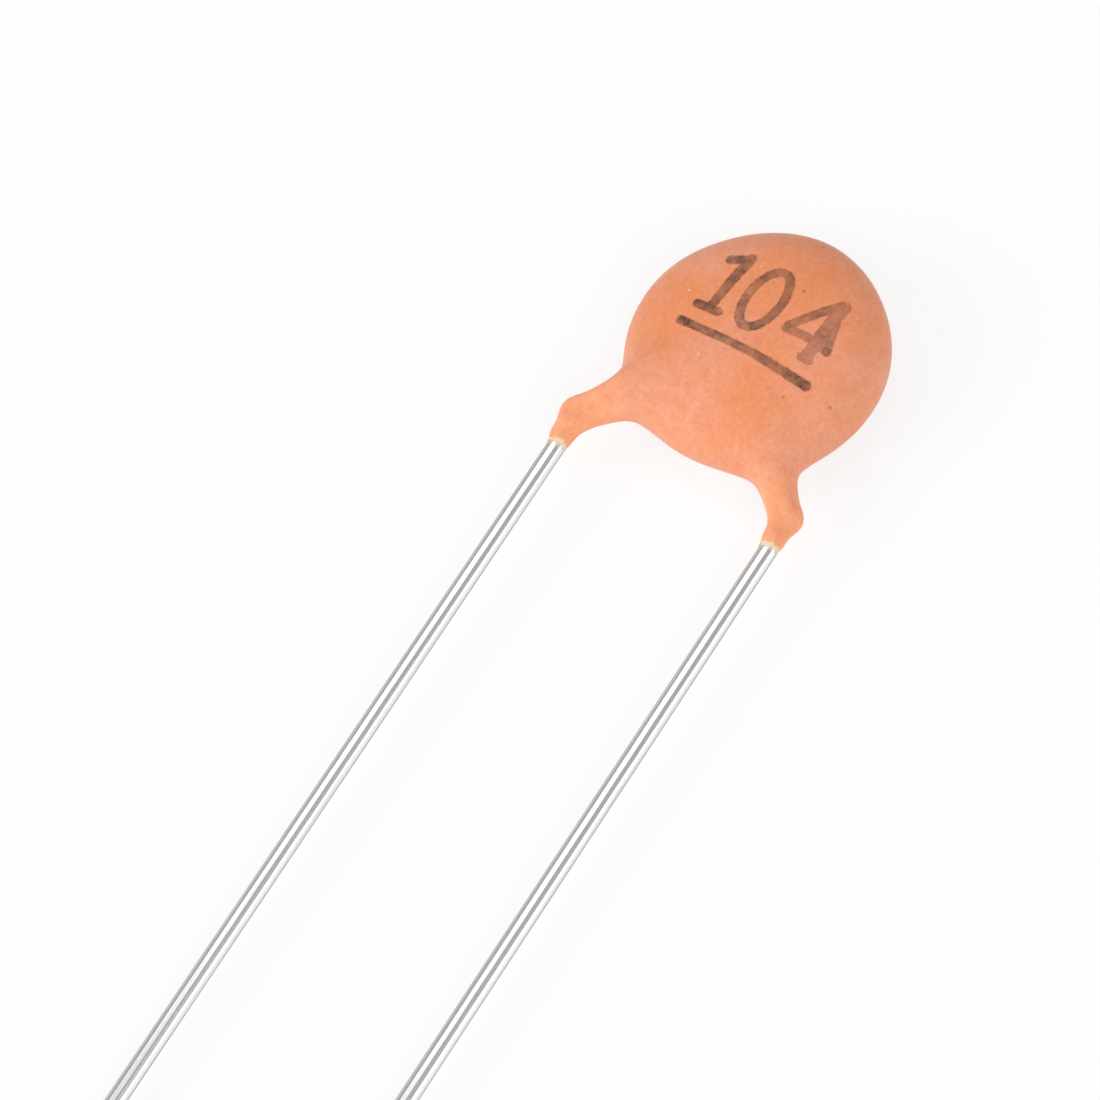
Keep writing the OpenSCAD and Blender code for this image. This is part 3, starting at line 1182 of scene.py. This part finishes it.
@dataclass
class SealedParts:
    """The pieces that the coating hides, which stay as the frame has them."""

    place: RestingPlace

    def dress(self) -> None:
        """Gives each sealed piece its finish."""
        silver = SILVER_FILM.material(self.place)
        solder = SOLDER.material(self.place)
        finishes = {
            "ceramic_disc": FiredCeramic().material(self.place),
            "electrode_front": silver,
            "electrode_back": silver,
            "solder_front": solder,
            "solder_back": solder,
        }
        for node, material in finishes.items():
            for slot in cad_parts[node].material_slots:
                slot.material = material
            LOG.info("%s: %s", node, material.name)


@dataclass(frozen=True)
class Lamp:
    """A soft box: a lit rectangle that faces the capacitor's middle."""

    name: str
    azimuth: float
    elevation: float
    distance: float
    width: float
    height: float
    radiance: float
    shift: float = 0.0

    def build(self, aim: Vector) -> bpy.types.Object:
        """Builds the lamp.

        Args:
            aim: The point that the lamp faces, in metres.

        Returns:
            The lamp.
        """
        data = bpy.data.lights.new(self.name, "AREA")
        data.shape = "RECTANGLE"
        data.size, data.size_y = self.width, self.height
        data.energy = self.radiance * math.pi * self.width * self.height
        lamp = new_object(self.name, data)
        out = outward(self.azimuth, self.elevation)
        lamp.location = aim + self.distance * out + Vector((0, self.shift, 0))
        lamp.rotation_euler = out.to_track_quat("Z", "Y").to_euler()
        return lamp


@dataclass
class Studio:
    """A plain pale floor under soft light, and the camera."""

    floor_size: float = 3.0
    floor_colour: str = "#FCFCFC"
    floor_glow: float = 0.78
    sky_strength: float = 0.4
    lamps: tuple[Lamp, ...] = (
        Lamp("strip_left", -90.0, 68.0, 0.35, 0.12, 0.36, 1.4, 0.113),
        Lamp("strip_right", 90.0, 13.0, 0.35, 0.18, 0.15, 2.0, 0.113),
        Lamp("softbox_left", -45.0, 24.0, 0.45, 0.45, 0.3, 3.35),
        Lamp("softbox_right", 58.0, 42.0, 0.45, 0.34, 0.3, 2.6),
    )
    azimuth: float = 51.905
    elevation: float = 60.097
    roll: float = 21.413
    distance: float = 126.10
    aim: Triple = (-1.326, 7.6354, 0.8868)
    lens: float = 207.747
    sensor: float = 36.0
    clip_start: float = 0.005

    def _floor(self) -> None:
        """Builds the floor, a pale paper that keeps a soft shadow."""
        half = self.floor_size / 2
        mesh = bpy.data.meshes.new("floor")
        corners = [(-half, -half, 0), (half, -half, 0), (half, half, 0), (-half, half, 0)]
        mesh.from_pydata(corners, [], [(0, 1, 2, 3)])
        material, tree = new_material("MattePaper")
        paper = add_node(tree, "ShaderNodeBsdfDiffuse", {"Color": linear(self.floor_colour)})
        glow = add_node(tree, "ShaderNodeEmission", {"Color": (1, 1, 1, 1), "Strength": 1.0})
        rays = add_node(tree, "ShaderNodeLightPath").outputs
        seen = rays["Is Camera Ray"]
        for ray in ("Is Glossy Ray", "Is Transmission Ray"):
            seen = add_node(tree, MATH, [seen, rays[ray]], operation="MAXIMUM").outputs[0]
        share = add_node(tree, MATH, [seen, self.floor_glow], operation="MULTIPLY")
        shown = add_node(tree, "ShaderNodeMixShader", [share, paper, glow])
        add_node(tree, "ShaderNodeOutputMaterial", [shown])
        mesh.materials.append(material)
        floor = new_object("floor", mesh)

    def _sky(self) -> None:
        """Lights the room evenly from all round."""
        world = bpy.data.worlds.new("Room")
        world.use_nodes = True
        background = world.node_tree.nodes["Background"]
        background.inputs["Color"].default_value = (1, 1, 1, 1)
        background.inputs["Strength"].default_value = self.sky_strength
        bpy.context.scene.world = world

    def _camera(self) -> None:
        """Sets up the camera."""
        turn, roll = math.radians(self.azimuth), math.radians(self.roll)
        back = outward(self.azimuth, self.elevation)
        level = Vector((math.cos(turn), math.sin(turn), 0))
        up = back.cross(level)
        right = math.cos(roll) * level - math.sin(roll) * up
        above = math.sin(roll) * level + math.cos(roll) * up
        data = bpy.data.cameras.new("camera")
        data.sensor_fit = "HORIZONTAL"
        data.sensor_width = self.sensor
        data.lens = self.lens
        data.clip_start = self.clip_start
        camera = new_object("camera", data)
        axes = Matrix((right, above, back)).transposed().to_4x4()
        camera.matrix_world = Matrix.Translation((Vector(self.aim) + self.distance * back) * MM) @ axes
        bpy.context.scene.camera = camera

    def build(self) -> None:
        """Builds the floor, the light and the camera."""
        self._floor()
        self._sky()
        for lamp in self.lamps:
            lamp.build(Vector(self.aim) * MM)
        self._camera()
        bpy.context.scene.view_settings.view_transform = "Standard"


def main() -> None:
    """Builds the room, then dresses the capacitor piece by piece."""
    logging.basicConfig(level=logging.INFO, format="%(name)s: %(message)s")
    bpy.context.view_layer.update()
    Studio().build()
    lead = LeadSizes()
    place = RestingPlace.from_frame(lead)
    DipCoating(lead, place).build()
    Leads(lead, place).build()
    SealedParts(place).dress()


if __name__ == "__main__":
    main()
